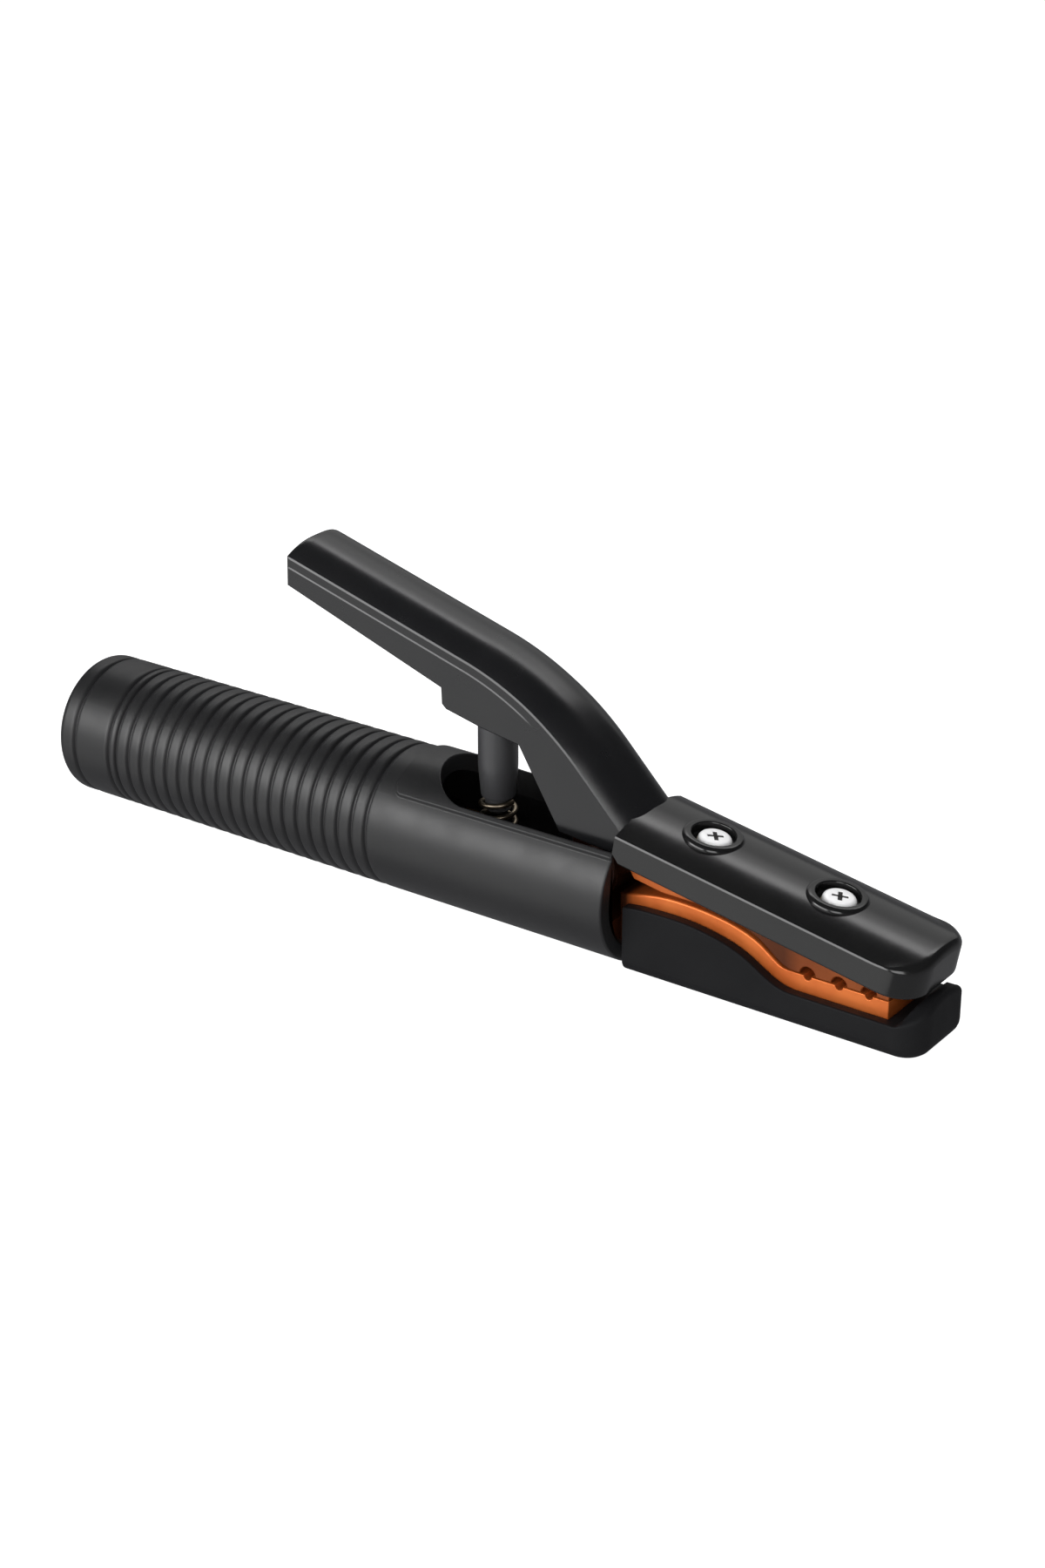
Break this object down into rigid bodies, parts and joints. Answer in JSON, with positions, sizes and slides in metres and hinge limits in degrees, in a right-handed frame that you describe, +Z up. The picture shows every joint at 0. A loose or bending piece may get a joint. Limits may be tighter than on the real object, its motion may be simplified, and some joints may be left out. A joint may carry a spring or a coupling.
{
  "type": "welding electrode holder",
  "caption": "Tong-type welding electrode holder: ribbed round insulated handle, sprung thumb lever on a hinge, grooved copper jaws inside insulating jaw covers.",
  "frame": {"origin": "centre of the cable entry at the handle's rear face, on the handle's axis", "axes": "+X along the handle towards the jaw tips, +Z up towards the lever, +Y across"},
  "size_m": [0.2487, 0.036, 0.0854],
  "materials": {
    "grip_plastic": "dark grey moulded fibre-filled plastic, satin",
    "lever_plastic": "black moulded plastic, semi-gloss top",
    "jaw_plastic": "black moulded plastic, semi-gloss shoulders",
    "tray_plastic": "dark grey moulded plastic, matt",
    "post_plastic": "black plastic, satin",
    "spring_seat_plastic": "black plastic, matt",
    "copper_alloy": "cast copper alloy, copper-coloured, softly polished",
    "copper_tube": "copper tube, plain",
    "brass": "machined brass",
    "bright_steel": "bright nickel-plated steel",
    "zinc_steel": "zinc-plated steel",
    "spring_steel": "spring steel",
    "black_steel": "black-oxide steel"
  },
  "bodies": {
    "holder": {"handle_sleeve": "grip_plastic", "handle_screw": "zinc_steel", "cable_socket": "brass", "cable_ferrule": "copper_tube", "cable_clamp_screws": "black_steel", "socket_screws": "black_steel", "lower_jaw": "copper_alloy", "lower_jaw_insulator": "tray_plastic", "lower_insulator_screws": "bright_steel", "hinge_pin": "zinc_steel", "hinge_pin_clips": "spring_steel", "hinge_washers": "zinc_steel", "spring_cup": "spring_seat_plastic", "spring": "spring_steel"},
    "lever": {"upper_jaw": "copper_alloy", "hinge_bush": "brass", "upper_jaw_insulator": "jaw_plastic", "upper_insulator_screws": "bright_steel", "upper_screw_washers": "spring_steel", "lever_shell": "lever_plastic", "lever_screws": "zinc_steel", "spring_post": "post_plastic"}
  },
  "joints": [
    {"name": "lever_pivot", "type": "hinge", "parent": "holder", "child": "lever", "pos_m": [0.1595, 0, 0.004], "axis": [0, -1, 0], "range_deg": [0, 20], "stiffness_Nm_per_rad": 10, "springref_deg": -20.05, "deforming": ["spring"]}
  ]
}
